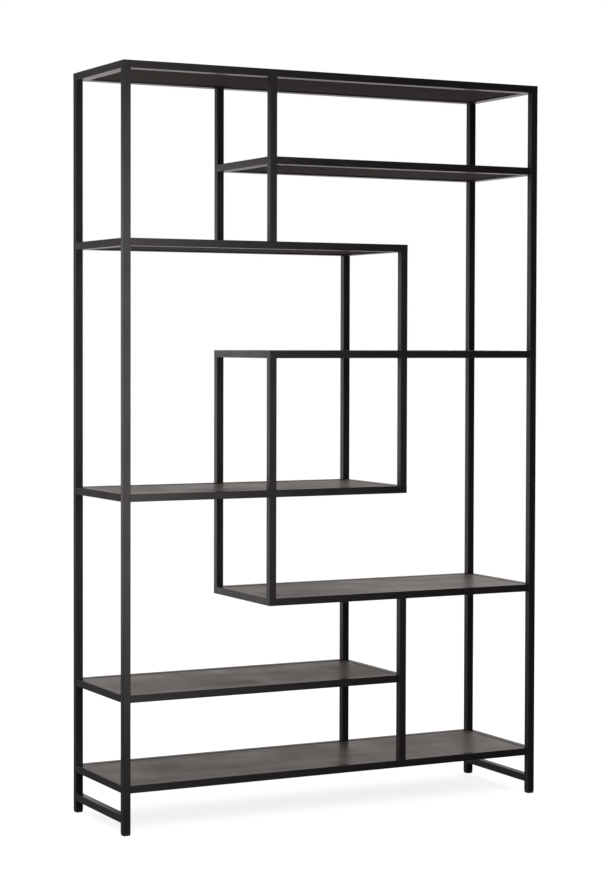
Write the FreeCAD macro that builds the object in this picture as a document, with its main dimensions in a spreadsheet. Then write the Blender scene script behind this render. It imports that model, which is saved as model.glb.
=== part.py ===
import FreeCAD, Part
import math
import os
import Sketcher

# Open zigzag bookcase: a welded frame of square steel tube that carries eight inset boards.
# Four posts stand at the corners. The shelves reach from the left post to the right divider and
# from the left divider to the right post by turns, and short dividers tie their free corners.
# Millimetres, +Z up, +X to the right, the front at -Y, origin on the floor under the middle.

# Driving sizes: name, value and what it is.
SIZES = (
    ("tube_side", 20.0, "outside of the square tube"),
    ("tube_wall", 1.5, "wall of the tube"),
    ("tube_corner", 0.8, "outer corner radius of the tube"),
    ("left_bay", 400.0, "clear width from left post to left divider"),
    ("middle_bay", 380.0, "clear width between the dividers"),
    ("right_bay", 400.0, "clear width from right divider to right post"),
    ("clear_depth", 310.0, "clear depth between front and rear tubes"),
    ("floor_gap", 110.0, "floor to the underside of shelf 1"),
    ("gap_1_2", 215.0, "clear height between shelves 1 and 2"),
    ("gap_2_3", 210.0, "clear height between shelves 2 and 3"),
    ("gap_3_4", 270.0, "clear height between shelves 3 and 4"),
    ("gap_4_5", 350.0, "clear height between shelves 4 and 5"),
    ("gap_5_6", 270.0, "clear height between shelves 5 and 6"),
    ("gap_6_7", 205.0, "clear height between shelves 6 and 7"),
    ("gap_7_8", 210.0, "clear height between shelves 7 and 8"),
    ("stretcher_gap", 32.0, "floor to the underside of a side stretcher"),
    ("ledge_width", 12.0, "width of the flat bar that carries a board"),
    ("ledge_thick", 3.0, "thickness of that flat bar"),
    ("board_thick", 16.0, "thickness of a board"),
    ("board_gap", 1.0, "gap between a board and the tubes around it"),
    ("screw_inset", 80.0, "end of a long ledge to its nearer screw"),
    ("screw_shank", 3.5, "diameter of a screw's shank"),
    ("screw_length", 14.0, "length of a screw with its countersunk head"),
    ("screw_head", 7.0, "diameter of a screw's head"),
    ("screw_sunk", 0.3, "depth of a screw's head inside the ledge"),
    ("screw_clearance", 0.1, "gap around a shank in its hole, on the radius"),
    ("screw_tip_room", 1.0, "depth of a board's hole past the screw's tip"),
    ("cap_flange", 6.0, "height of a foot cap under the post"),
    ("cap_corner", 3.0, "upright corner radius of a foot cap"),
    ("cap_round", 2.5, "rounding of a foot cap's lower edge"),
    ("cap_plug", 18.0, "height of the plug inside the post"),
    ("cap_clearance", 0.2, "gap around the plug in the post"),
)

doc = FreeCAD.newDocument("zigzag_bookcase")
sheet = doc.addObject("Spreadsheet::Sheet", "Sizes")
for row, (alias, value, meaning) in enumerate(SIZES, start=1):
    sheet.set(f"A{row}", meaning)
    sheet.set(f"B{row}", str(value))
    sheet.setAlias(f"B{row}", alias)
doc.recompute()


def size(alias):
    """The sheet's cell as it is named in an expression."""
    return "Sizes." + alias


def number(expression):
    """The present value of an expression over the sheet."""
    return float(sheet.evalExpression(expression))


def total(*terms):
    """One expression that adds up the given ones."""
    return " + ".join(f"({term})" for term in terms)


# Places along X: the left face of each of the four lines of uprights.
SIDE = size("tube_side")
HALF_WIDTH = f"({total(f'4 * {SIDE}', size('left_bay'), size('middle_bay'), size('right_bay'))}) / 2"
X_LEFT_POST = f"-({HALF_WIDTH})"
X_LEFT_DIVIDER = total(X_LEFT_POST, SIDE, size("left_bay"))
X_RIGHT_DIVIDER = total(X_LEFT_DIVIDER, SIDE, size("middle_bay"))
X_RIGHT_POST = total(X_RIGHT_DIVIDER, SIDE, size("right_bay"))

# Places along Y: the front face of the front and rear tubes, and the space between them.
Y_INNER_FRONT = f"-{size('clear_depth')} / 2"
Y_INNER_REAR = f"{size('clear_depth')} / 2"
Y_FRONT = f"{Y_INNER_FRONT} - {SIDE}"
Y_REAR = Y_INNER_REAR
FULL_DEPTH = f"{size('clear_depth')} + 2 * {SIDE}"
ROWS = {"front": Y_FRONT, "rear": Y_REAR}

# Places along Z: the underside of each shelf's tubes, from the floor up.
UNDERSIDE = {1: size("floor_gap")}
for level in range(2, 9):
    UNDERSIDE[level] = total(UNDERSIDE[level - 1], SIDE, size(f"gap_{level - 1}_{level}"))

# Each shelf: its left and right uprights, and which ends are free mitred corners.
SHELVES = {
    1: (X_LEFT_POST, X_RIGHT_POST, ()),
    2: (X_LEFT_POST, X_RIGHT_DIVIDER, ()),
    3: (X_LEFT_DIVIDER, X_RIGHT_POST, ("left",)),
    4: (X_LEFT_POST, X_RIGHT_DIVIDER, ("right",)),
    5: (X_LEFT_DIVIDER, X_RIGHT_POST, ("left",)),
    6: (X_LEFT_POST, X_RIGHT_DIVIDER, ("right",)),
    7: (X_LEFT_DIVIDER, X_RIGHT_POST, ()),
    8: (X_LEFT_POST, X_RIGHT_POST, ("left", "right")),
}

# Each divider: its place along X and the shelves that its lengths stand between.
DIVIDERS = {
    "low_right_divider": (X_RIGHT_DIVIDER, ((1, 3),)),
    "mid_left_divider": (X_LEFT_DIVIDER, ((3, 4), (4, 5))),
    "mid_right_divider": (X_RIGHT_DIVIDER, ((4, 5), (5, 6))),
    "top_left_divider": (X_LEFT_DIVIDER, ((6, 8),)),
}

# A part's own Z axis turned to run along X, Y or Z, with its corner kept at its lowest place.
DIAGONAL = FreeCAD.Vector(1, 1, 1)
ALONG = {
    "Z": FreeCAD.Rotation(),
    "X": FreeCAD.Rotation(DIAGONAL, 120),
    "Y": FreeCAD.Rotation(DIAGONAL, 240),
}

# A fillet takes at most this share of the smaller size beside it.
FILLET_SHARE = 0.9

nodes = []


def keep(part, label, solids=1):
    """Names a finished sub-part and notes how many solids it holds."""
    part.Label = label
    nodes.append((part, solids))


def place(part, x, y, z, rotation=ALONG["Z"]):
    """Puts a part's corner at a place given by three expressions."""
    part.Placement = FreeCAD.Placement(FreeCAD.Vector(), rotation)
    for axis, expression in (("x", x), ("y", y), ("z", z)):
        part.setExpression(f"Placement.Base.{axis}", expression)


def new_sketch(body, name, role="XY_Plane"):
    """A sketch on one of the body's own origin planes."""
    sketch = body.newObject("Sketcher::SketchObject", name)
    plane = next(item for item in body.Origin.OriginFeatures if item.Role == role)
    sketch.AttachmentSupport = [(plane, "")]
    sketch.MapMode = "FlatFace"
    return sketch


def rule(kind, *places):
    """A constraint with no size of its own."""
    return Sketcher.Constraint(kind, *places), None, None


def dimension(name, kind, places, expression):
    """A named constraint whose size is tied to the sheet."""
    constraint = Sketcher.Constraint(kind, *places, number(expression))
    constraint.Name = name
    return constraint, name, expression


def constrain(sketch, entries):
    """Adds a list of constraints in one go."""
    sketch.addConstraint([constraint for constraint, _, _ in entries])
    for _, name, expression in entries:
        if name:
            sketch.setExpression(f"Constraints.{name}", expression)


def from_origin(item, point):
    """A sketch's origin and a point of one of its items, as the two ends of a dimension."""
    return -1, 1, item, point


def on_axis(item, axis):
    """Holds the first point of an item on the sketch's own axis."""
    return rule("PointOnObject", item, 1, {"x": -1, "y": -2}[axis])


def add_polygon(sketch, name, corners):
    """A closed outline whose corners are pairs of expressions, each tied to the origin or an axis."""
    points = [FreeCAD.Vector(number(u), number(v), 0) for u, v in corners]
    following = points[1:] + points[:1]
    lines = sketch.addGeometry([Part.LineSegment(*ends) for ends in zip(points, following)])
    entries = []
    for index, line in enumerate(lines):
        entries.append(rule("Coincident", line, 2, lines[(index + 1) % len(lines)], 1))
        for kind, axis, value in zip(("DistanceX", "DistanceY"), ("y", "x"), corners[index]):
            if value == "0":
                entries.append(on_axis(line, axis))
            else:
                entries.append(dimension(f"{name}_{index}_{kind}", kind, from_origin(line, 1), value))
    constrain(sketch, entries)


def add_rounded_square(sketch, side, corner):
    """A square with rounded corners whose lower left corner lies at the origin."""
    s = number(side)
    r = number(corner)
    ends = (((r, 0), (s - r, 0)), ((s, r), (s, s - r)), ((s - r, s), (r, s)), ((0, s - r), (0, r)))
    centres = ((r, r), (s - r, r), (s - r, s - r), (r, s - r))
    shapes = [Part.LineSegment(FreeCAD.Vector(*a, 0), FreeCAD.Vector(*b, 0)) for a, b in ends]
    for index, centre in enumerate(centres):
        circle = Part.Circle(FreeCAD.Vector(*centre, 0), FreeCAD.Vector(0, 0, 1), r)
        begin = math.pi + index * math.pi / 2
        shapes.append(Part.ArcOfCircle(circle, begin, begin + math.pi / 2))
    sketch.addGeometry(shapes)
    sides = len(ends)
    first_arc, *other_arcs = range(sides, len(shapes))
    entries = []
    for index in range(sides):
        arc = first_arc + index
        entries.append(rule("Tangent", arc, 2, index, 1))
        entries.append(rule("Tangent", (index - 1) % sides, 2, arc, 1))
        entries.append(rule("Vertical" if index % 2 else "Horizontal", index))
    entries += [rule("Equal", first_arc, arc) for arc in other_arcs]
    entries.append(on_axis(0, "x"))
    entries.append(on_axis(3, "y"))
    entries.append(dimension("side_x", "DistanceX", from_origin(1, 1), side))
    entries.append(dimension("side_y", "DistanceY", from_origin(2, 1), side))
    entries.append(dimension("corner", "Radius", (first_arc,), corner))
    constrain(sketch, entries)


def add_square(sketch, name, low, high):
    """A sharp square from low to high in both directions."""
    add_polygon(sketch, name, ((low, low), (high, low), (high, high), (low, high)))


def add_circles(sketch, places, radius):
    """Round holes at pairs of expressions, tied to the origin."""
    entries = []
    for index, (u, v) in enumerate(places):
        centre = FreeCAD.Vector(number(u), number(v), 0)
        hole = sketch.addGeometry(Part.Circle(centre, FreeCAD.Vector(0, 0, 1), number(radius)))
        entries.append(dimension(f"hole_{index}_x", "DistanceX", from_origin(hole, 3), u))
        entries.append(dimension(f"hole_{index}_y", "DistanceY", from_origin(hole, 3), v))
        entries.append(dimension(f"hole_{index}_radius", "Radius", (hole,), radius))
    constrain(sketch, entries)


def pad(body, sketch, length):
    """Raises a sketch along its normal."""
    feature = body.newObject("PartDesign::Pad", "Pad")
    feature.Profile = sketch
    feature.setExpression("Length", length)
    sketch.Visibility = False
    return feature


def new_body(name):
    """An empty body of the document."""
    return doc.addObject("PartDesign::Body", name)


def tube(name, axis, x, y, z, length, outer=None, mitred=()):
    """A length of hollow square tube along an axis. Its lowest corner is at x, y, z.

    A mitred end is cut at 45 degrees, so that the tube is longest on its outer side:
    "low" or "high" across the tube, in plan."""
    body = new_body(name)
    section = new_sketch(body, "section")
    add_rounded_square(section, SIDE, size("tube_corner"))
    wall = size("tube_wall")
    add_square(section, "bore", wall, f"{SIDE} - {wall}")
    pad(body, section, length)
    if mitred:
        cut_mitres(body, axis, length, outer, mitred)
    place(body, x, y, z, ALONG[axis])
    return body


def cut_mitres(body, axis, length, outer, mitred):
    """Takes the inner corner off the start, the end or both ends of a tube."""
    plan = new_sketch(body, "mitre_plan", "XZ_Plane" if axis == "X" else "YZ_Plane")
    long_side, short_side = ("0", SIDE) if outer == "low" else (SIDE, "0")
    if "start" in mitred:
        add_polygon(plan, "start", ((long_side, "0"), (short_side, "0"), (short_side, SIDE)))
    if "end" in mitred:
        inner = f"{length} - {SIDE}"
        add_polygon(plan, "end", ((long_side, length), (short_side, length), (short_side, inner)))
    pocket = body.newObject("PartDesign::Pocket", "Mitre")
    pocket.Profile = plan
    pocket.Type = "ThroughAll"
    pocket.Midplane = True
    plan.Visibility = False


def add_posts():
    """Four corner posts, from their foot caps to the underside of the top frame."""
    lines = {"left": X_LEFT_POST, "right": X_RIGHT_POST}
    length = f"{UNDERSIDE[8]} - {size('cap_flange')}"
    for row, y in ROWS.items():
        for line, x in lines.items():
            name = f"{row}_{line}_post"
            keep(tube(name, "Z", x, y, size("cap_flange"), length), name)
    for line, x in lines.items():
        name = f"{line}_stretcher"
        keep(tube(name, "Y", x, Y_INNER_FRONT, size("stretcher_gap"), size("clear_depth")), name)


def add_dividers():
    """Dividers stand between the rails. One that crosses a shelf is two lengths in line."""
    for divider, (x, spans) in DIVIDERS.items():
        for row, y in ROWS.items():
            name = f"{divider}_{row}"
            lengths = []
            for low, high in spans:
                top_of_low = total(UNDERSIDE[low], SIDE)
                length = f"{UNDERSIDE[high]} - ({top_of_low})"
                lengths.append(tube(f"{name}_{low}_{high}", "Z", x, y, top_of_low, length))
            if len(lengths) == 1:
                keep(lengths[0], name)
            else:
                keep(group(f"{name}_lengths", lengths), name, len(lengths))


def group(name, members):
    """Several separate solids that share one node."""
    compound = doc.addObject("Part::Compound", name)
    compound.Links = members
    return compound


def add_shelf_frame(level):
    """Front, rear, left and right rails: mitred at a free corner, butted against an upright."""
    left, right, corners = SHELVES[level]
    z = UNDERSIDE[level]
    start = left if "left" in corners else total(left, SIDE)
    end = total(right, SIDE) if "right" in corners else right
    mitred = [word for word, corner in (("start", "left"), ("end", "right")) if corner in corners]
    for row, y in ROWS.items():
        name = f"shelf_{level}_{row}_rail"
        outer = "low" if row == "front" else "high"
        keep(tube(name, "X", start, y, z, f"{end} - ({start})", outer, mitred), name)
    for side, x in (("left", left), ("right", right)):
        name = f"shelf_{level}_{side}_rail"
        if side in corners:
            outer = "low" if side == "left" else "high"
            rail = tube(name, "Y", x, Y_FRONT, z, FULL_DEPTH, outer, ("start", "end"))
        else:
            rail = tube(name, "Y", x, Y_INNER_FRONT, z, size("clear_depth"))
        keep(rail, name)


def ledge_screws(level):
    """Where the screws of one shelf stand: two on each long ledge, near its ends."""
    left, right, _ = SHELVES[level]
    inset = size("screw_inset")
    half_ledge = f"{size('ledge_width')} / 2"
    along = (total(left, SIDE, inset), f"{right} - {inset}")
    across = {"front": total(Y_INNER_FRONT, half_ledge), "rear": f"{Y_INNER_REAR} - {half_ledge}"}
    return {row: [(x, y) for x in along] for row, y in across.items()}


# A screw in its ledge: the hole around it, the top of the cone under its head and its tip.
CONE_ANGLE = 90
HOLE_RADIUS = f"{size('screw_shank')} / 2 + {size('screw_clearance')}"
CONE_TOP = total(size("screw_sunk"), f"({size('screw_head')} - {size('screw_shank')}) / 2")
TIP = total(size("screw_sunk"), size("screw_length"))


def offsets(places, x, y):
    """Places in the whole frame, counted from a corner at x, y."""
    return [(f"{u} - ({x})", f"{v} - ({y})") for u, v in places]


def plate(name, x, y, z, width, depth, thick, holes=()):
    """A flat plate with its lowest corner at x, y, z, drilled through for screws."""
    body = new_body(name)
    outline = new_sketch(body, "outline")
    add_polygon(outline, "edge", (("0", "0"), (width, "0"), (width, depth), ("0", depth)))
    pad(body, outline, thick)
    if holes:
        drill_countersunk(body, offsets(holes, x, y))
    place(body, x, y, z)
    return body


def drill_countersunk(body, places):
    """Holes through a plate, each opening downwards into a cone for a screw's head."""
    centres = new_sketch(body, "screw_centres")
    add_circles(centres, places, HOLE_RADIUS)
    doc.recompute()
    holes = body.newObject("PartDesign::Hole", "ScrewHoles")
    holes.Profile = centres
    doc.recompute()
    holes.ThreadType = "None"
    holes.DepthType = "ThroughAll"
    holes.Reversed = True
    holes.setExpression("Diameter", f"2 * ({HOLE_RADIUS})")
    holes.HoleCutType = "Countersink"
    holes.HoleCutCustomValues = True
    holes.HoleCutCountersinkAngle = CONE_ANGLE
    holes.setExpression("HoleCutDiameter", f"2 * ({HOLE_RADIUS} + {CONE_TOP})")
    centres.Visibility = False


def shelf_ledges(level):
    """Flat bars welded inside a shelf's frame, flush with its underside. The long ones are drilled."""
    left, right, _ = SHELVES[level]
    inner_left = total(left, SIDE)
    width = size("ledge_width")
    thick = size("ledge_thick")
    z = UNDERSIDE[level]
    screws = ledge_screws(level)
    long_length = f"{right} - ({inner_left})"
    end_length = f"{size('clear_depth')} - 2 * {width}"
    end_y = total(Y_INNER_FRONT, width)
    long_y = {"front": Y_INNER_FRONT, "rear": f"{Y_INNER_REAR} - {width}"}
    end_x = {"left": inner_left, "right": f"{right} - {width}"}
    long_bars = [
        plate(f"shelf_{level}_{row}_ledge", inner_left, y, z, long_length, width, thick, screws[row])
        for row, y in long_y.items()
    ]
    end_bars = [
        plate(f"shelf_{level}_{side}_ledge", x, end_y, z, width, end_length, thick)
        for side, x in end_x.items()
    ]
    return long_bars, end_bars


def add_board(level):
    """A board dropped in between the tubes, lying on the ledges, with blind screw holes below."""
    left, right, _ = SHELVES[level]
    gap = size("board_gap")
    x = total(left, SIDE, gap)
    y = total(Y_INNER_FRONT, gap)
    width = f"{right} - {gap} - ({x})"
    depth = f"{size('clear_depth')} - 2 * {gap}"
    z = total(UNDERSIDE[level], size("ledge_thick"))
    name = f"shelf_{level}_board"
    board = plate(name, x, y, z, width, depth, size("board_thick"))
    holes = new_sketch(board, "screw_holes")
    screws = [spot for spots in ledge_screws(level).values() for spot in spots]
    add_circles(holes, offsets(screws, x, y), HOLE_RADIUS)
    pocket = board.newObject("PartDesign::Pocket", "ScrewHoles")
    pocket.Profile = holes
    pocket.Reversed = True
    grip = f"{TIP} - {size('ledge_thick')}"
    pocket.setExpression("Length", f"{grip} + {size('screw_tip_room')}")
    holes.Visibility = False
    keep(board, name)


def add_screws():
    """One countersunk screw, turned about its axis, and a copy of it in every ledge hole."""
    body = new_body("screw")
    profile = new_sketch(body, "profile", "XZ_Plane")
    head = f"{size('screw_head')} / 2"
    shank = f"{size('screw_shank')} / 2"
    face = size("screw_sunk")
    taper = f"{TIP} - {size('screw_shank')}"
    add_polygon(profile, "half", (("0", face), (head, face), (shank, CONE_TOP),
                                  (shank, taper), ("0", TIP)))
    turned = body.newObject("PartDesign::Revolution", "Turned")
    turned.Profile = profile
    turned.ReferenceAxis = (profile, ["V_Axis"])
    turned.Angle = 360
    profile.Visibility = False
    doc.recompute()
    copies = []
    for level in SHELVES:
        for spots in ledge_screws(level).values():
            for x, y in spots:
                copy = body.Shape.copy()
                copy.translate(FreeCAD.Vector(number(x), number(y), number(UNDERSIDE[level])))
                copies.append(copy)
    screws = doc.addObject("Part::Feature", "screw_copies")
    screws.Shape = Part.makeCompound(copies)
    keep(screws, "board_screws", len(copies))


def foot_cap(name, x, y):
    """A push-in cap: a rounded flange as wide as the tube, and a plug inside the post."""
    body = new_body(name)
    flange = new_sketch(body, "flange")
    add_rounded_square(flange, SIDE, size("cap_corner"))
    base = pad(body, flange, size("cap_flange"))
    doc.recompute()
    half_height = number(size("cap_flange")) / 2
    rim = [f"Edge{index}" for index, edge in enumerate(body.Shape.Edges, start=1)
           if edge.BoundBox.ZMax < half_height]
    rounding = body.newObject("PartDesign::Fillet", "LowerEdge")
    rounding.Base = (base, rim)
    most = f"{FILLET_SHARE} * min({size('cap_corner')}; {size('cap_flange')})"
    rounding.setExpression("Radius", f"min({size('cap_round')}; {most})")
    plug = new_sketch(body, "plug")
    plug.setExpression("AttachmentOffset.Base.z", size("cap_flange"))
    edge = f"{size('tube_wall')} + {size('cap_clearance')}"
    add_square(plug, "plug", edge, f"{SIDE} - ({edge})")
    pad(body, plug, size("cap_plug"))
    place(body, x, y, "0")
    return body


add_posts()
add_dividers()
for level in SHELVES:
    add_shelf_frame(level)
for level in SHELVES:
    add_board(level)
ledges = [shelf_ledges(level) for level in SHELVES]
long_ledges = [bar for long_bars, _ in ledges for bar in long_bars]
end_ledges = [bar for _, end_bars in ledges for bar in end_bars]
keep(group("long_ledge_bars", long_ledges), "long_ledges", len(long_ledges))
keep(group("end_ledge_bars", end_ledges), "end_ledges", len(end_ledges))
add_screws()
caps = [foot_cap(f"{row}_{line}_cap", x, y) for row, y in ROWS.items()
        for line, x in (("left", X_LEFT_POST), ("right", X_RIGHT_POST))]
keep(group("foot_cap_set", caps), "foot_caps", len(caps))
doc.recompute()

for item in doc.Objects:
    if "Invalid" in item.State or "Error" in item.State:
        raise RuntimeError(f"{item.Label} failed: {item.State}")
for part, solids in nodes:
    shape = part.Shape
    if shape.isNull() or not shape.isValid() or len(shape.Solids) != solids:
        raise RuntimeError(f"{part.Label} is not {solids} sound solids")

os.makedirs("parts", exist_ok=True)
for part, solids in nodes:
    part.Shape.exportStep(f"parts/{part.Label}.step")
print(len(nodes), "nodes,", sum(solids for _, solids in nodes), "solids")
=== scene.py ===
# %% [markdown]
# # An open zigzag bookcase
# The real object is a welded frame of 20 mm square steel tube, powder coated black. Eight dark
# stained boards lie inside the frame, each 1 mm below the top of the tubes around it.
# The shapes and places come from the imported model, which is loaded as a fixed frame and never
# moved. This lesson gives that frame its finishes and remodels two things that a hand would feel:
# the boards, with their eased edges, and the screws under them, with a recess for the driver.

# %% Load the fixed frame
import math

import bmesh
import bpy
from mathutils import Euler, Matrix, Vector


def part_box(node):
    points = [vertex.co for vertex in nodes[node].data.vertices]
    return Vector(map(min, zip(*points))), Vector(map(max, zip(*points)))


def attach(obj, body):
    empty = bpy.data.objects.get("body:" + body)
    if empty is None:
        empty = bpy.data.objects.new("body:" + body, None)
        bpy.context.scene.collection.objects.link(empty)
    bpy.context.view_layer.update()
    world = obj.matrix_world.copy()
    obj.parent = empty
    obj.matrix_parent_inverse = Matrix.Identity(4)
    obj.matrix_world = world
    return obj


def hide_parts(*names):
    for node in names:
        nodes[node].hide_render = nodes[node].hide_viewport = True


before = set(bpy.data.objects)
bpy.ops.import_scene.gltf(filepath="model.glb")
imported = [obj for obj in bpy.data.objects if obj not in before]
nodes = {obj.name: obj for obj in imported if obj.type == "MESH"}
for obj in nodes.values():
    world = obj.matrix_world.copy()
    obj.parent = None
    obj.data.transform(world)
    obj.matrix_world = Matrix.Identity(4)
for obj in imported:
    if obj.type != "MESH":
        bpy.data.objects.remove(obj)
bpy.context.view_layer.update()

MM = 0.001               # the scene is in metres, and sizes are written in millimetres

# %% [markdown]
# ## The camera
# The photographer stood to the left of the bookcase, a little above half its height, with a
# short telephoto lens. A camera can be placed by eye or worked out from straight edges. Here it
# was worked out: the place, the turn and the lens below make the edges of the model fall on the
# edges in the photograph. The sensor's 36 mm lie along the picture's longer side.

# %% Place the camera
SENSOR = 36.0                                       # mm
LENS = 90.28                                        # mm
LENS_SHIFT = -0.0461                                # share of the longer side, keeps the posts upright
CAMERA_PLACE = Vector((-2.8715, -5.5099, 1.2784))   # metres
CAMERA_YAW = math.radians(27.369)                   # to the right of straight ahead, +Y
CAMERA_PITCH = math.radians(-1.650)                 # a little downwards
CAMERA_ROLL = math.radians(-0.145)                  # held almost level

camera = bpy.data.objects.new("camera", bpy.data.cameras.new("camera"))
camera.data.sensor_width = SENSOR
camera.data.lens = LENS
camera.data.shift_y = LENS_SHIFT
heading = Euler((math.pi / 2 + CAMERA_PITCH, 0, -CAMERA_YAW)).to_matrix().to_4x4()
tilt = Matrix.Rotation(-CAMERA_ROLL, 4, "Z")
camera.matrix_world = Matrix.Translation(CAMERA_PLACE) @ heading @ tilt
bpy.context.scene.collection.objects.link(camera)
bpy.context.scene.camera = camera
print("camera at", list(CAMERA_PLACE))

# %% [markdown]
# ## Helpers for finishes
# Colours are written as sRGB hex values, the way a colour picker shows them. Shaders count in
# linear light, so one function converts them. A second one adds a node, sets its options and
# fills its inputs: a plain value is set on the socket, and another node's output is linked to it.
# Two small ones start a material and turn a size in millimetres into the scale of a noise.

# %% Helpers for materials
def linear(colour):
    """An sRGB hex colour as linear red, green, blue and alpha."""
    channels = [int(colour[index:index + 2], 16) / 255 for index in (1, 3, 5)]
    bent = [c / 12.92 if c <= 0.04045 else ((c + 0.055) / 1.055) ** 2.4 for c in channels]
    return (*bent, 1.0)


def add_node(tree, kind, inputs=None, **options):
    """Adds a node with its options, and sets or links its inputs."""
    node = tree.nodes.new(kind)
    for option, value in options.items():
        setattr(node, option, value)
    for socket, value in (inputs or {}).items():
        if isinstance(value, bpy.types.NodeSocket):
            tree.links.new(value, node.inputs[socket])
        else:
            node.inputs[socket].default_value = value
    return node


def new_material(name):
    """An empty node material: its tree and its shader, already joined to the output."""
    material = bpy.data.materials.new(name)
    material.use_nodes = True
    tree = material.node_tree
    return material, tree, tree.nodes["Principled BSDF"]


def per_metre(size_mm):
    """The noise scale that gives features of this size."""
    return 1 / (size_mm * MM)


NOISE_LOW = 0.3          # most values of a noise are above this
NOISE_HIGH = 0.7         # and below this
print("middle grey in linear light:", linear("#808080"))

# %% [markdown]
# ## Powder-coated steel
# The tubes are welded mild steel under a baked polyester powder. The powder melts and flows, so
# the skin is a closed satin film with a faint orange peel. It is plastic to the eye: not metallic,
# IOR about 1.5, and fairly rough. The peel is about 1.5 mm on a real tube, which is less than a
# pixel here, so it is drawn at 5 mm. A wide, faint cloud in colour and gloss keeps the long tubes
# from looking like one flat black. On a face that lies level the molten powder spreads out best, so
# the tops of the rails are glossier than their sides, and seen along their length they turn pale.

# %% Make the powder coat
COAT_PEEL = 5.0          # mm, drawn coarser than the real 1.5 mm so that it shows
COAT_CLOUD = 90.0        # mm, slow change of film thickness along a tube
COAT_GLOSS = (0.35, 0.42)  # roughness, slowly changing along a tube
LEVEL_GLOSS = 0.29       # roughness on top of a level tube
LEVEL_FROM = 0.8         # a face that looks up more than this begins to count as level


def powder_coated_steel():
    """Black satin polyester powder on steel tube."""
    material, tree, shader = new_material("powder_coated_steel")
    place = add_node(tree, "ShaderNodeTexCoord").outputs["Object"]
    cloud = add_node(tree, "ShaderNodeTexNoise", {
        "Vector": place, "Scale": per_metre(COAT_CLOUD), "Detail": 3.0, "Roughness": 0.6})
    peel = add_node(tree, "ShaderNodeTexNoise", {
        "Vector": place, "Scale": per_metre(COAT_PEEL), "Detail": 2.0, "Roughness": 0.5})
    colour = add_node(tree, "ShaderNodeMix", {
        0: cloud.outputs[0], 6: linear("#0c0b0b"), 7: linear("#131111")}, data_type="RGBA")
    gloss = add_node(tree, "ShaderNodeMapRange", {
        "Value": cloud.outputs[0], "From Min": NOISE_LOW, "From Max": NOISE_HIGH,
        "To Min": COAT_GLOSS[0], "To Max": COAT_GLOSS[1]})
    facing = add_node(tree, "ShaderNodeSeparateXYZ", {
        0: add_node(tree, "ShaderNodeNewGeometry").outputs["True Normal"]})
    level = add_node(tree, "ShaderNodeMapRange", {
        "Value": facing.outputs["Z"], "From Min": LEVEL_FROM, "From Max": 1.0})
    spread = add_node(tree, "ShaderNodeMix", {
        0: level.outputs[0], 2: gloss.outputs[0], 3: LEVEL_GLOSS})
    relief = add_node(tree, "ShaderNodeBump", {
        "Height": peel.outputs[0], "Strength": 0.25, "Distance": 0.15 * MM})
    tree.links.new(colour.outputs[2], shader.inputs["Base Color"])
    tree.links.new(spread.outputs[0], shader.inputs["Roughness"])
    tree.links.new(relief.outputs["Normal"], shader.inputs["Normal"])
    shader.inputs["IOR"].default_value = 1.5
    return material


coat = powder_coated_steel()
print("made", coat.name)

# %% [markdown]
# ## Stained veneer
# A board is chipboard faced with oak veneer, stained grey-brown and lacquered satin. The grain runs
# along the board. Three noises stretched along X give it: broad streaks where one leaf of veneer is
# lighter than the next, rings about 14 mm apart, and pores. Pores are under a millimetre wide, too
# fine for this picture, so they are drawn at 3 mm. The lacquer's gloss changes slowly over a hand's
# width, as it does where it was sprayed a little thicker.

# %% Make the veneer
# Each noise of the grain: mm along it, mm across it, and the settings of the noise.
GRAIN = {
    "streaks": (900.0, 70.0, {"Detail": 1.0}),
    "rings": (420.0, 14.0, {"Detail": 3.0, "Distortion": 0.6}),
    "pores": (70.0, 3.0, {"Detail": 4.0, "Roughness": 0.65}),    # coarser than the real 0.5 mm
}
PORE_SHARE = 0.4         # of the pores, beside the rings
STREAK_SHARE = 0.45      # of the streaks, beside both
GRAIN_RANGE = (0.4, 0.6)  # values of the grain that turn into the dark and the pale tone
SMUDGE = 160.0           # mm, slow change of gloss where the lacquer lies thicker
LACQUER_GLOSS = (0.29, 0.47)  # roughness, slowly changing over a board


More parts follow.
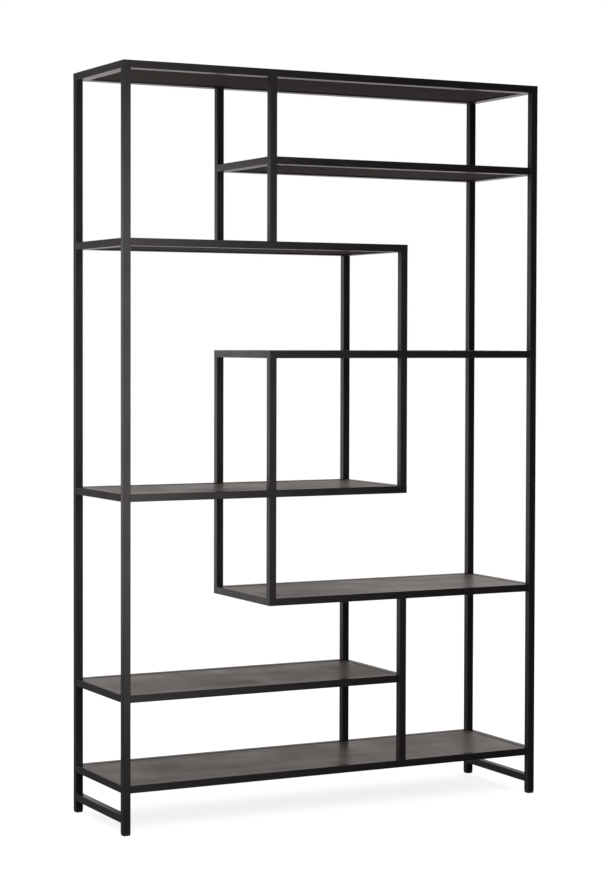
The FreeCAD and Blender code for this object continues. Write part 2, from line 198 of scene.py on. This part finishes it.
def stained_oak_veneer():
    """Grey-brown stained oak veneer under satin lacquer."""
    material, tree, shader = new_material("stained_oak_veneer")
    place = add_node(tree, "ShaderNodeTexCoord").outputs["Object"]
    noises = {}
    for name, (length, width, settings) in GRAIN.items():
        drawn_out = add_node(tree, "ShaderNodeMapping", {
            "Vector": place, "Scale": (per_metre(length), per_metre(width), per_metre(width))})
        noise = add_node(tree, "ShaderNodeTexNoise", {
            "Vector": drawn_out.outputs[0], "Scale": 1.0, **settings})
        noises[name] = noise.outputs[0]
    smudge = add_node(tree, "ShaderNodeTexNoise", {
        "Vector": place, "Scale": per_metre(SMUDGE), "Detail": 3.0, "Roughness": 0.55})
    fine = add_node(tree, "ShaderNodeMix", {
        0: PORE_SHARE, 2: noises["rings"], 3: noises["pores"]})
    grain = add_node(tree, "ShaderNodeMix", {
        0: STREAK_SHARE, 2: fine.outputs[0], 3: noises["streaks"]})
    tone = add_node(tree, "ShaderNodeMapRange", {
        "Value": grain.outputs[0], "From Min": GRAIN_RANGE[0], "From Max": GRAIN_RANGE[1]})
    colour = add_node(tree, "ShaderNodeMix", {
        0: tone.outputs[0], 6: linear("#37332f"), 7: linear("#56514c")}, data_type="RGBA")
    gloss = add_node(tree, "ShaderNodeMapRange", {
        "Value": smudge.outputs[0], "From Min": NOISE_LOW, "From Max": NOISE_HIGH,
        "To Min": LACQUER_GLOSS[0], "To Max": LACQUER_GLOSS[1]})
    relief = add_node(tree, "ShaderNodeBump", {
        "Height": noises["pores"], "Strength": 0.3, "Distance": 0.2 * MM})
    tree.links.new(colour.outputs[2], shader.inputs["Base Color"])
    tree.links.new(gloss.outputs[0], shader.inputs["Roughness"])
    tree.links.new(relief.outputs["Normal"], shader.inputs["Normal"])
    shader.inputs["IOR"].default_value = 1.48
    return material


veneer = stained_oak_veneer()
print("made", veneer.name)

# %% [markdown]
# ## Backing paper
# The underside is faced with plain dark paper instead of veneer, which keeps the board flat and
# costs less. Paper has no lacquer, so it is matt, with a faint fibre mottle and hardly any sheen
# even when seen along its face.

# %% Make the backing
FIBRE = 12.0             # mm, mottle of the paper, drawn coarser than the real 1 mm


def backing_paper():
    """Matt dark paper under a board."""
    material, tree, shader = new_material("backing_paper")
    mottle = add_node(tree, "ShaderNodeTexNoise", {
        "Vector": add_node(tree, "ShaderNodeTexCoord").outputs["Object"],
        "Scale": per_metre(FIBRE), "Detail": 5.0, "Roughness": 0.7})
    colour = add_node(tree, "ShaderNodeMix", {
        0: mottle.outputs[0], 6: linear("#262220"), 7: linear("#342f2d")}, data_type="RGBA")
    relief = add_node(tree, "ShaderNodeBump", {
        "Height": mottle.outputs[0], "Strength": 0.2, "Distance": 0.1 * MM})
    tree.links.new(colour.outputs[2], shader.inputs["Base Color"])
    tree.links.new(relief.outputs["Normal"], shader.inputs["Normal"])
    shader.inputs["Roughness"].default_value = 0.85
    shader.inputs["IOR"].default_value = 1.16
    return material


paper_back = backing_paper()
print("made", paper_back.name)

# %% [markdown]
# ## Foot caps and screws
# The caps are moulded from black polypropylene against an eroded tool, which leaves a fine matt
# grit. The screws are steel with black zinc plating: a dark metal with a dull, slightly uneven
# gloss. The grit is a tenth of a millimetre on a real cap, so it is drawn at 1 mm.

# %% Make the plastic and the plating
CAP_GRIT = 1.0           # mm, drawn coarser than the real 0.1 mm
PLATING_SPOT = 2.0       # mm, uneven plating on a screw's head
PLATING_GLOSS = (0.3, 0.45)  # roughness of a spot, from bright to dull


def moulded_polypropylene():
    """Matt black plastic of the foot caps."""
    material, tree, shader = new_material("moulded_polypropylene")
    place = add_node(tree, "ShaderNodeTexCoord").outputs["Object"]
    grit = add_node(tree, "ShaderNodeTexNoise", {
        "Vector": place, "Scale": per_metre(CAP_GRIT), "Detail": 2.0})
    colour = add_node(tree, "ShaderNodeMix", {
        0: grit.outputs[0], 6: linear("#131313"), 7: linear("#1d1d1d")}, data_type="RGBA")
    relief = add_node(tree, "ShaderNodeBump", {
        "Height": grit.outputs[0], "Strength": 0.4, "Distance": 0.1 * MM})
    tree.links.new(colour.outputs[2], shader.inputs["Base Color"])
    tree.links.new(relief.outputs["Normal"], shader.inputs["Normal"])
    shader.inputs["Roughness"].default_value = 0.6
    shader.inputs["IOR"].default_value = 1.49
    return material


def black_zinc():
    """Black zinc plating on the screws."""
    material, tree, shader = new_material("black_zinc")
    place = add_node(tree, "ShaderNodeTexCoord").outputs["Object"]
    spots = add_node(tree, "ShaderNodeTexNoise", {
        "Vector": place, "Scale": per_metre(PLATING_SPOT), "Detail": 3.0})
    colour = add_node(tree, "ShaderNodeMix", {
        0: spots.outputs[0], 6: linear("#2b2b2e"), 7: linear("#3c3c40")}, data_type="RGBA")
    gloss = add_node(tree, "ShaderNodeMapRange", {
        "Value": spots.outputs[0], "From Min": NOISE_LOW, "From Max": NOISE_HIGH,
        "To Min": PLATING_GLOSS[0], "To Max": PLATING_GLOSS[1]})
    tree.links.new(colour.outputs[2], shader.inputs["Base Color"])
    tree.links.new(gloss.outputs[0], shader.inputs["Roughness"])
    shader.inputs["Metallic"].default_value = 1.0
    return material


plastic = moulded_polypropylene()
plating = black_zinc()
print("made", plastic.name, "and", plating.name)

# %% [markdown]
# ## Give every node its finish
# Each node of the frame keeps its shape and gets one of the finishes. The boards, caps and screws
# are known by their names, and all the rest is coated tube or flat bar.

# %% Assign the finishes
FINISHES = {"board": (veneer, "board"), "foot_caps": (plastic, "cap"), "board_screws": (plating, "screw")}
for name, node in nodes.items():
    kind = "board" if name.endswith("_board") else name
    finish, slot = FINISHES.get(kind, (coat, "frame"))
    node.data.materials.clear()
    node.data.materials.append(finish)
print("finished nodes:", len(nodes))

# %% [markdown]
# ## The boards
# A sanded board has no knife edge: its corners are eased by about half a millimetre, and that small
# round catches the light. A bevel modifier could do it, but the node's mesh has screw holes whose
# rims would be rounded too. So each board is modelled again in the box of its node: a block with
# eased edges, veneered on top and on its edges, with backing paper below.

# %% Model the boards
EASED = 0.6              # mm, rounding of a board's edges
EASED_STEPS = 3
DOWN = -0.7              # a face that looks further down than this carries the backing


def add_piece(name, builder, finishes, replaced):
    """Turns a finished mesh builder into a piece that rides on the frame in place of a node."""
    bmesh.ops.recalc_face_normals(builder, faces=builder.faces)
    mesh = bpy.data.meshes.new(name)
    builder.to_mesh(mesh)
    builder.free()
    for finish in finishes:
        mesh.materials.append(finish)
    piece = bpy.data.objects.new(name, mesh)
    bpy.context.scene.collection.objects.link(piece)
    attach(piece, "root")
    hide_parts(replaced)
    return piece


def eased_board(node_name):
    """A board in the box of its node, with rounded edges."""
    low, high = (Vector(corner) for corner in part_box(node_name))
    builder = bmesh.new()
    bmesh.ops.create_cube(builder, size=1.0)
    for vertex in builder.verts:
        vertex.co = Vector(a + (b - a) * (c + 0.5) for a, b, c in zip(low, high, vertex.co))
    bmesh.ops.bevel(builder, geom=list(builder.edges), offset=EASED * MM, segments=EASED_STEPS,
                    profile=0.5, affect="EDGES", clamp_overlap=True)
    builder.normal_update()
    for face in builder.faces:
        face.material_index = 1 if face.normal.z < DOWN else 0
    return add_piece(f"veneered_{node_name}", builder, (veneer, paper_back), node_name)


boards = [eased_board(name) for name in sorted(nodes) if name.endswith("_board")]
print("boards:", len(boards), "with", len(boards[0].data.polygons), "faces each")

# %% [markdown]
# ## The screws
# Four countersunk screws hold each board from below, with their heads just inside the ledges. The
# node gives their places: its highest points are the tips. The recess could be cut with a boolean,
# but a flat head with a cross-shaped opening is simple enough to build: rings for the turned part,
# a cross of twelve points for the recess, and triangles between the two. Every screw stopped at
# another angle when it was driven home.

# %% Draw the outlines of a screw
HEAD_RADIUS = 3.5        # mm
HEAD_EASED = 0.15        # mm, the rim of the head is not a knife edge
SHANK_RADIUS = 1.75      # mm
SCREW_LENGTH = 14.0      # mm, from the face of the head to the end of the tip
SCREW_TIP = 3.5          # mm, length of the pointed tip
RECESS_REACH = 1.8       # mm, middle of the cross to the end of an arm
RECESS_HALF = 0.45       # mm, half the width of an arm
RECESS_DEPTH = 1.2       # mm
RECESS_TAPER = 0.6       # size of the recess at its floor, as a share of its mouth
ROUND_STEPS = 32         # corners of each ring


def circle(radius):
    """Points of a circle about the screw's axis."""
    turns = [2 * math.pi * index / ROUND_STEPS for index in range(ROUND_STEPS)]
    return [(radius * math.cos(turn), radius * math.sin(turn)) for turn in turns]


def cross(scale):
    """Points of the cross recess, twelve corners in order."""
    quarter = ((RECESS_HALF, RECESS_HALF), (RECESS_HALF, RECESS_REACH), (-RECESS_HALF, RECESS_REACH))
    points = []
    for turn in range(4):
        c, s = round(math.cos(turn * math.pi / 2)), round(math.sin(turn * math.pi / 2))
        points += [(scale * (c * x - s * y), scale * (s * x + c * y)) for x, y in quarter]
    return points


print("ring:", len(circle(HEAD_RADIUS)), "points, cross:", len(cross(1.0)), "points")

# %% Model one screw
def add_ring(builder, points, height):
    """A closed loop of vertices at one height, in millimetres."""
    return [builder.verts.new((x * MM, y * MM, height * MM)) for x, y in points]


def join_rings(builder, lower, upper):
    """Faces between two loops of the same count."""
    for index in range(len(lower)):
        after = (index + 1) % len(lower)
        builder.faces.new((lower[index], lower[after], upper[after], upper[index]))


def loop_edges(builder, loop):
    """The edges along a closed loop of vertices, made where they are missing."""
    pairs = zip(loop, loop[1:] + loop[:1])
    return [builder.edges.get(pair) or builder.edges.new(pair) for pair in pairs]


def countersunk_screw():
    """One screw that points up, with the face of its head at height 0."""
    builder = bmesh.new()
    cone_top = HEAD_RADIUS - SHANK_RADIUS
    profile = ((HEAD_RADIUS - 2 * HEAD_EASED, 0), (HEAD_RADIUS - HEAD_EASED, HEAD_EASED),
               (SHANK_RADIUS, cone_top), (SHANK_RADIUS, SCREW_LENGTH - SCREW_TIP))
    rings = [add_ring(builder, circle(radius), height) for radius, height in profile]
    for lower, upper in zip(rings, rings[1:]):
        join_rings(builder, lower, upper)
    tip = builder.verts.new((0, 0, SCREW_LENGTH * MM))
    for a, b in zip(rings[-1], rings[-1][1:] + rings[-1][:1]):
        builder.faces.new((a, b, tip))
    mouth = add_ring(builder, cross(1.0), 0)
    floor_ring = add_ring(builder, cross(RECESS_TAPER), RECESS_DEPTH)
    join_rings(builder, mouth, floor_ring)
    builder.faces.new(floor_ring)
    face_rims = loop_edges(builder, rings[0]) + loop_edges(builder, mouth)
    bmesh.ops.triangle_fill(builder, edges=face_rims, use_beauty=True, use_dissolve=False)
    mesh = bpy.data.meshes.new("countersunk_screw")
    builder.to_mesh(mesh)
    builder.free()
    return mesh


screw = countersunk_screw()
print("one screw:", len(screw.polygons), "faces")

# %% Drive a screw into every hole
SCREW_APART = 20 * MM    # points of one screw are closer than this, and screws are further apart
TURN_STEP = 2.4          # radians from one screw's cross to the next, so that no two look alike

tips = []
for vertex in sorted(nodes["board_screws"].data.vertices, key=lambda item: -item.co.z):
    if all((vertex.co - tip).length > SCREW_APART for tip in tips):
        tips.append(vertex.co.copy())
builder = bmesh.new()
for index, tip in enumerate(tips):
    before = len(builder.verts)
    builder.from_mesh(screw)
    builder.verts.ensure_lookup_table()
    seat = Matrix.Translation(tip - Vector((0, 0, SCREW_LENGTH * MM)))
    bmesh.ops.transform(builder, matrix=seat @ Matrix.Rotation(index * TURN_STEP, 4, "Z"),
                        verts=builder.verts[before:])
bpy.data.meshes.remove(screw)
screws = add_piece("cross_recess_screws", builder, (plating,), "board_screws")
print("screws:", len(tips), "with", len(screws.data.polygons), "faces")

# %% [markdown]
# ## The studio
# A white cut-out photograph is imitated with a pale floor, a white world and a few soft lamps. The
# camera sees plain white. What the satin coat mirrors is another matter: behind the bookcase stands
# a pale backdrop, bright on the right and dim on the left, where only a band at eye height is lit,
# and the room towards the photographer is dark. So the world answers mirror rays by their direction,
# and lights everything else evenly.

# %% Set up what mirror rays find
BACKDROP = 1.0           # brightness behind the bookcase, on the right
BACKDROP_TOP = 0.3       # share of that well above eye height
BACKDROP_RISE = 0.3      # rise of a mirror ray at which that is reached
DIM_SIDE = 0.65          # share of it on the left, at eye height
DIM_FADED = 0.1          # and well above or below eye height
DIM_HEIGHT = 0.2         # rise or fall of a mirror ray at which that is reached
ROOM_FRONT = 0.03        # brightness towards the photographer
TO_BACKDROP = 0.35       # the room passes into the backdrop from this far in front to this far behind
TO_BRIGHT = 0.25         # the dim side passes into the bright one over this much left and right

world = bpy.data.worlds.new("studio")
bpy.context.scene.world = world
world.use_nodes = True
world.cycles.sampling_method = "NONE"
air = world.node_tree
towards = add_node(air, "ShaderNodeSeparateXYZ", {
    0: add_node(air, "ShaderNodeTexCoord").outputs["Generated"]})
behind = add_node(air, "ShaderNodeMapRange", {
    "Value": towards.outputs["Y"], "From Min": -TO_BACKDROP, "From Max": TO_BACKDROP,
    "To Min": ROOM_FRONT, "To Max": BACKDROP}, interpolation_type="SMOOTHSTEP")
steepness = add_node(air, "ShaderNodeMath", {0: towards.outputs["Z"]}, operation="ABSOLUTE")
dim = add_node(air, "ShaderNodeMapRange", {
    "Value": steepness.outputs[0], "From Min": 0.0, "From Max": DIM_HEIGHT,
    "To Min": DIM_SIDE, "To Max": DIM_FADED}, interpolation_type="SMOOTHSTEP")
rightness = add_node(air, "ShaderNodeMapRange", {
    "Value": towards.outputs["X"], "From Min": -TO_BRIGHT, "From Max": TO_BRIGHT},
    interpolation_type="SMOOTHSTEP")
lit = add_node(air, "ShaderNodeMapRange", {
    "Value": towards.outputs["Z"], "From Min": 0.0, "From Max": BACKDROP_RISE,
    "To Min": 1.0, "To Max": BACKDROP_TOP})
share = add_node(air, "ShaderNodeMix", {0: rightness.outputs[0], 2: dim.outputs[0], 3: lit.outputs[0]})
mirrored = add_node(air, "ShaderNodeMath", {
    0: behind.outputs[0], 1: share.outputs[0]}, operation="MULTIPLY")
print("backdrop at eye height:", BACKDROP, "on the right,", DIM_SIDE * BACKDROP, "on the left")

# %% Light the world
ROOM_LIGHT = 0.6         # even light on every surface
PAPER_WHITE = "#fff8f6"  # the slightly warm white of backdrop and lamps

ray = add_node(air, "ShaderNodeLightPath")
unseen = add_node(air, "ShaderNodeMix", {
    0: ray.outputs["Is Glossy Ray"], 2: ROOM_LIGHT, 3: mirrored.outputs[0]})
seen = add_node(air, "ShaderNodeMix", {
    0: ray.outputs["Is Camera Ray"], 2: unseen.outputs[0], 3: 1.0})
tint = add_node(air, "ShaderNodeMix", {
    0: ray.outputs["Is Camera Ray"], 6: linear(PAPER_WHITE), 7: linear("#ffffff")}, data_type="RGBA")
air.links.new(seen.outputs[0], air.nodes["Background"].inputs["Strength"])
air.links.new(tint.outputs[2], air.nodes["Background"].inputs["Color"])
print("world:", world.name)

# %% [markdown]
# The floor is matt and pale. Most of its white is its own glow, which only the camera sees, so that
# it joins the white behind it without a horizon. The rest is light that falls on it, and there the
# bookcase leaves a faint soft shadow. Mirror rays pass the floor by and find the world instead.

# %% Lay the floor
FLOOR_HALF = 60.0        # metres, far enough to reach the horizon
FLOOR_GLOW = 0.81        # share of the floor's white that no shadow takes away
FLOOR_PALE = "#e6e6e4"   # the paper, as it lights the bookcase from below
FLOOR_SHADED = "#a0a0a0"  # the rest of its white, which the camera sees in light and shade

mesh = bpy.data.meshes.new("floor")
corners = [(x * FLOOR_HALF, y * FLOOR_HALF, 0) for x, y in ((-1, -1), (1, -1), (1, 1), (-1, 1))]
mesh.from_pydata(corners, [], [(0, 1, 2, 3)])
floor = bpy.data.objects.new("floor", mesh)
bpy.context.scene.collection.objects.link(floor)
paper, tree, shader = new_material("white_paper")
ray = add_node(tree, "ShaderNodeLightPath")
glow = add_node(tree, "ShaderNodeMath", {
    0: ray.outputs["Is Camera Ray"], 1: FLOOR_GLOW}, operation="MULTIPLY")
colour = add_node(tree, "ShaderNodeMix", {
    0: ray.outputs["Is Camera Ray"], 6: linear(FLOOR_PALE), 7: linear(FLOOR_SHADED)}, data_type="RGBA")
tree.links.new(colour.outputs[2], shader.inputs["Base Color"])
tree.links.new(glow.outputs[0], shader.inputs["Emission Strength"])
shader.inputs["Emission Color"].default_value = linear("#ffffff")
shader.inputs["Roughness"].default_value = 0.9
shader.inputs["Specular IOR Level"].default_value = 0.0
paper.cycles.emission_sampling = "NONE"
mesh.materials.append(paper)
floor.visible_glossy = False
print("floor:", 2 * FLOOR_HALF, "m square")

# %% [markdown]
# Four soft lamps, which the camera doesn't see:
#
# - A soft box hangs to the left of the photographer, above head height. It is as large as a garage
#   door, so shadows stay soft.
# - A back light stands behind on the right. The low boards mirror it, more so towards the right.
# - A narrow strip light stands close in front, just where the front of the left post mirrors it. It
#   lifts that post and the left ends of the rails out of the black, and leaves the right half dark.
# - A dim panel behind the bookcase gives the left faces of the uprights their grey.
#
# Studios keep a lamp off one part of a subject with a flag, a black card on a stand. Here a flag is
# a list of nodes that a lamp leaves out. The strip is hung twice, with and without its flag, so
# that the flagged post still gets a part of it.

# %% Make a lamp with its flag
def hang_lamp(name, place, aim, size, power, flagged=()):
    """A rectangular lamp that faces a point and isn't seen itself. It leaves out flagged nodes."""
    lamp = bpy.data.objects.new(name, bpy.data.lights.new(name, "AREA"))
    lamp.data.shape = "RECTANGLE"
    lamp.data.size, lamp.data.size_y = size
    lamp.data.energy = power
    lamp.data.color = linear(PAPER_WHITE)[:3]
    lamp.location = place
    lamp.rotation_euler = (aim - place).to_track_quat("-Z", "Y").to_euler()
    lamp.visible_camera = False
    if flagged:
        shaded = bpy.data.collections.new(f"{name}_flags")
        for node_name in flagged:
            shaded.objects.link(nodes[node_name])
        for member in shaded.collection_objects:
            member.light_linking.link_state = "EXCLUDE"
        lamp.light_linking.receiver_collection = shaded
    bpy.context.scene.collection.objects.link(lamp)
    print(name, power, "W")


print("the lamps' white:", PAPER_WHITE)

# %% Hang the lamps
SOFT_BOX_PLACE = Vector((-3.2, -4.2, 4.2))
SOFT_BOX_AIM = Vector((0, 0, 0.9))
SOFT_BOX_SIZE = (3.0, 3.0)     # metres
SOFT_BOX_POWER = 150.0         # watts
BACK_LIGHT_PLACE = Vector((2.2, 1.6, 2.8))
BACK_LIGHT_AIM = Vector((0.1, 0, 0.7))
BACK_LIGHT_SIZE = (1.5, 1.5)   # metres
BACK_LIGHT_POWER = 34.0        # watts
STRIP_PLACE = Vector((-0.1, -1.9, 1.1))
STRIP_AIM = Vector((-0.62, -0.17, 1.05))
STRIP_SIZE = (0.3, 1.9)        # metres
STRIP_POWER = 12.0             # watts
STRIP_REST = 5.2               # watts of the strip that reach the flagged post too
PANEL_PLACE = Vector((-0.72, 1.5, 1.1))
PANEL_AIM = Vector((-0.1, 0, 1.1))
PANEL_SIZE = (1.7, 1.6)        # metres
PANEL_POWER = 5.4              # watts
REAR_POST = ["rear_left_post"]  # flagged, as are the left rails
LEFT_RAILS = [f"shelf_{level}_left_rail" for level in (1, 2, 4, 6)]

hang_lamp("soft_box", SOFT_BOX_PLACE, SOFT_BOX_AIM, SOFT_BOX_SIZE, SOFT_BOX_POWER)
hang_lamp("back_light", BACK_LIGHT_PLACE, BACK_LIGHT_AIM, BACK_LIGHT_SIZE, BACK_LIGHT_POWER)
hang_lamp("strip_light", STRIP_PLACE, STRIP_AIM, STRIP_SIZE, STRIP_POWER, REAR_POST)
hang_lamp("strip_rest", STRIP_PLACE, STRIP_AIM, STRIP_SIZE, STRIP_REST)
hang_lamp("panel", PANEL_PLACE, PANEL_AIM, PANEL_SIZE, PANEL_POWER, REAR_POST + LEFT_RAILS)

# %% [markdown]
# ## Finish
# The Standard view shows a colour as it was written.

# %% Set the view
bpy.context.scene.view_settings.view_transform = "Standard"
